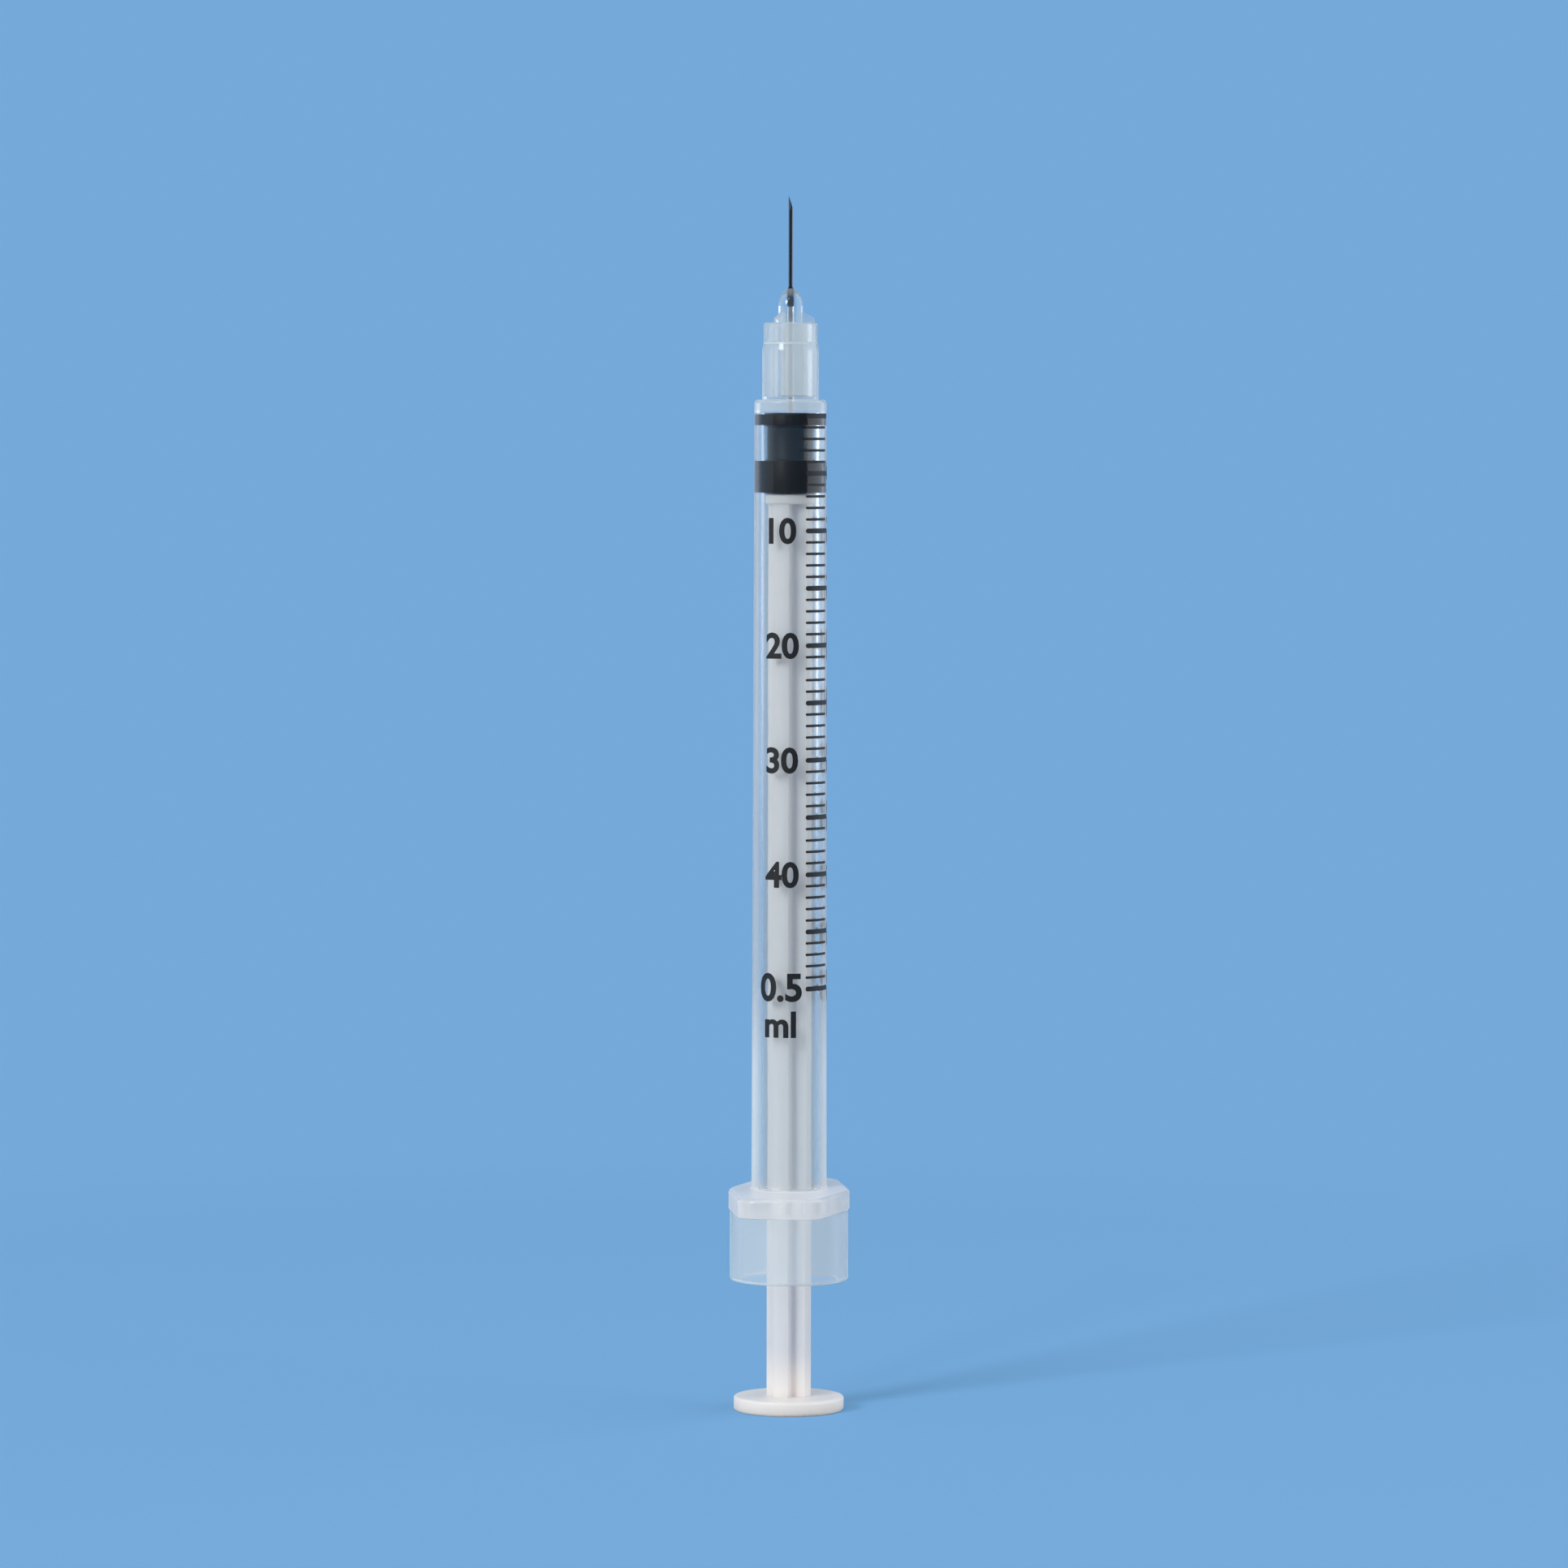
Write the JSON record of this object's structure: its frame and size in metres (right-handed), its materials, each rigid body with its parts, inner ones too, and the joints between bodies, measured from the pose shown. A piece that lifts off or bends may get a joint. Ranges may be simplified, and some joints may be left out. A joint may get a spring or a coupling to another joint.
{
  "type": "insulin syringe",
  "caption": "Slim disposable syringe with a fixed fine needle, stepped hub, clear graduated barrel with winged finger flange and skirt, rubber piston and cross-ribbed plunger on a round thumb disc.",
  "frame": {"origin": "centre of the thumb disc's lower face, where the syringe stands", "axes": "+Z along the syringe's axis towards the needle, Y along the finger flange's wings, X across them with the printed scale near +X"},
  "size_m": [0.0088, 0.0142, 0.0887],
  "materials": {
    "plunger": "satin",
    "piston": "satin",
    "barrel": "translucent",
    "cannula": "polished",
    "adhesive": "clear"
  },
  "bodies": {
    "plunger": {"plunger_rod": "plunger"},
    "piston": {"piston": "piston"},
    "barrel": {"barrel": "barrel", "cannula": "cannula", "needle_adhesive": "adhesive"}
  },
  "joints": [
    {"name": "rod_swivel", "type": "hinge", "parent": "plunger", "child": "piston", "pos_m": [0, 0, 0.068], "axis": [0, 0, 1], "continuous": true},
    {"name": "barrel_slide", "type": "slide", "parent": "piston", "child": "barrel", "axis": [0, 0, 1], "range_m": [0, 0.0508]}
  ]
}
